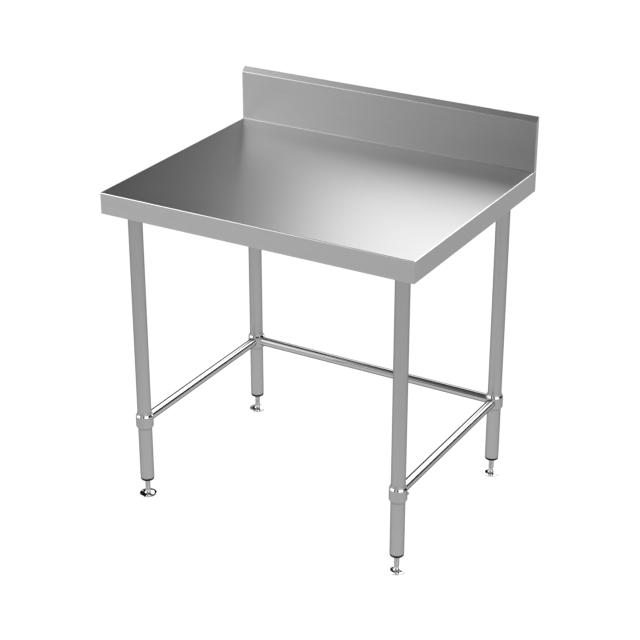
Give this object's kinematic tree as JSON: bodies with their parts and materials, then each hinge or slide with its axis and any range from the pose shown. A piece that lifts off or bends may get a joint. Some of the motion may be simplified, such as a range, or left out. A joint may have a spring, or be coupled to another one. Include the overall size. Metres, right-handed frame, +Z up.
{
  "type": "stainless work table",
  "caption": "Free-standing steel kitchen work table with an upstand at the rear, braced round legs that push into sockets under the top, and levelling feet.",
  "frame": {"origin": "on the floor plane, under the centre of the worktop's 900 x 700 mm plan", "axes": "+X to the user's right, +Y to the rear, where the splashback is, +Z up"},
  "size_m": [0.9, 0.7, 1.05],
  "materials": {
    "brushed_sheet": "fine straight grain along the table's width",
    "plain_sheet": "dull mill finish",
    "deadener": "matt embossed bitumen sheet",
    "fastener": "turned and rolled stainless",
    "dark_screw": "black oxide",
    "socket_steel": "cast and tumbled",
    "satin_tube": "satin, fine grain along the tube",
    "black_plastic": "moulded nylon",
    "stem_steel": "rolled thread",
    "polished_pad": "mirror polished stainless",
    "satin_collar": "satin body with polished chamfers",
    "polished_tube": "bright polished stainless"
  },
  "bodies": {
    "table_frame": {"worktop_sheet": "brushed_sheet", "splash_end_cap_left": "brushed_sheet", "splash_end_cap_right": "brushed_sheet", "rear_rail": "plain_sheet", "side_channel_left": "plain_sheet", "side_channel_right": "plain_sheet", "centre_channel": "plain_sheet", "deadening_pad_front": "deadener", "deadening_pad_rear": "deadener", "channel_studs": "fastener", "channel_nuts": "fastener", "leg_socket_front_left": "socket_steel", "leg_socket_front_right": "socket_steel", "leg_socket_rear_left": "socket_steel", "leg_socket_rear_right": "socket_steel", "socket_bolts": "fastener", "socket_nuts": "fastener", "socket_set_screws": "dark_screw", "leg_front_left": "satin_tube", "leg_front_right": "satin_tube", "leg_rear_left": "satin_tube", "leg_rear_right": "satin_tube", "leg_insert_front_left": "black_plastic", "leg_insert_front_right": "black_plastic", "leg_insert_rear_left": "black_plastic", "leg_insert_rear_right": "black_plastic", "insert_nuts": "fastener"},
    "brace_frame": {"brace_collar_front_left": "satin_collar", "brace_collar_front_right": "satin_collar", "brace_collar_rear_left": "satin_collar", "brace_collar_rear_right": "satin_collar", "brace_tube_left": "polished_tube", "brace_tube_right": "polished_tube", "brace_tube_rear": "polished_tube", "collar_set_screws": "fastener", "brace_grub_screws": "dark_screw"},
    "pad_front_left": {"foot_pad_front_left": "polished_pad"},
    "pad_front_right": {"foot_pad_front_right": "polished_pad"},
    "pad_rear_left": {"foot_pad_rear_left": "polished_pad"},
    "pad_rear_right": {"foot_pad_rear_right": "polished_pad"},
    "stem_front_left": {"foot_stem_front_left": "stem_steel"},
    "stem_front_right": {"foot_stem_front_right": "stem_steel"},
    "stem_rear_left": {"foot_stem_rear_left": "stem_steel"},
    "stem_rear_right": {"foot_stem_rear_right": "stem_steel"}
  },
  "joints": [
    {"name": "brace_height", "type": "slide", "parent": "table_frame", "child": "brace_frame", "axis": [0, 0, 1], "range_m": [-0.15, 0.58]},
    {"name": "foot_height_front_left", "type": "slide", "parent": "table_frame", "child": "pad_front_left", "axis": [0, 0, 1], "range_m": [-0.025, 0.03]},
    {"name": "foot_height_front_right", "type": "slide", "parent": "table_frame", "child": "pad_front_right", "axis": [0, 0, 1], "range_m": [-0.025, 0.03]},
    {"name": "foot_height_rear_left", "type": "slide", "parent": "table_frame", "child": "pad_rear_left", "axis": [0, 0, 1], "range_m": [-0.025, 0.03]},
    {"name": "foot_height_rear_right", "type": "slide", "parent": "table_frame", "child": "pad_rear_right", "axis": [0, 0, 1], "range_m": [-0.025, 0.03]},
    {"name": "foot_screw_front_left", "type": "hinge", "parent": "pad_front_left", "child": "stem_front_left", "pos_m": [-0.3885, -0.2885, 0.03], "axis": [0, 0, 1], "continuous": true},
    {"name": "foot_screw_front_right", "type": "hinge", "parent": "pad_front_right", "child": "stem_front_right", "pos_m": [0.3885, -0.2885, 0.03], "axis": [0, 0, 1], "continuous": true},
    {"name": "foot_screw_rear_left", "type": "hinge", "parent": "pad_rear_left", "child": "stem_rear_left", "pos_m": [-0.3885, 0.2885, 0.03], "axis": [0, 0, 1], "continuous": true},
    {"name": "foot_screw_rear_right", "type": "hinge", "parent": "pad_rear_right", "child": "stem_rear_right", "pos_m": [0.3885, 0.2885, 0.03], "axis": [0, 0, 1], "continuous": true}
  ],
  "couplings": [
    {"joint": "foot_screw_front_left", "follows": "foot_height_front_left", "rad_per_m": 3141.6},
    {"joint": "foot_screw_front_right", "follows": "foot_height_front_right", "rad_per_m": 3141.6},
    {"joint": "foot_screw_rear_left", "follows": "foot_height_rear_left", "rad_per_m": 3141.6},
    {"joint": "foot_screw_rear_right", "follows": "foot_height_rear_right", "rad_per_m": 3141.6}
  ]
}
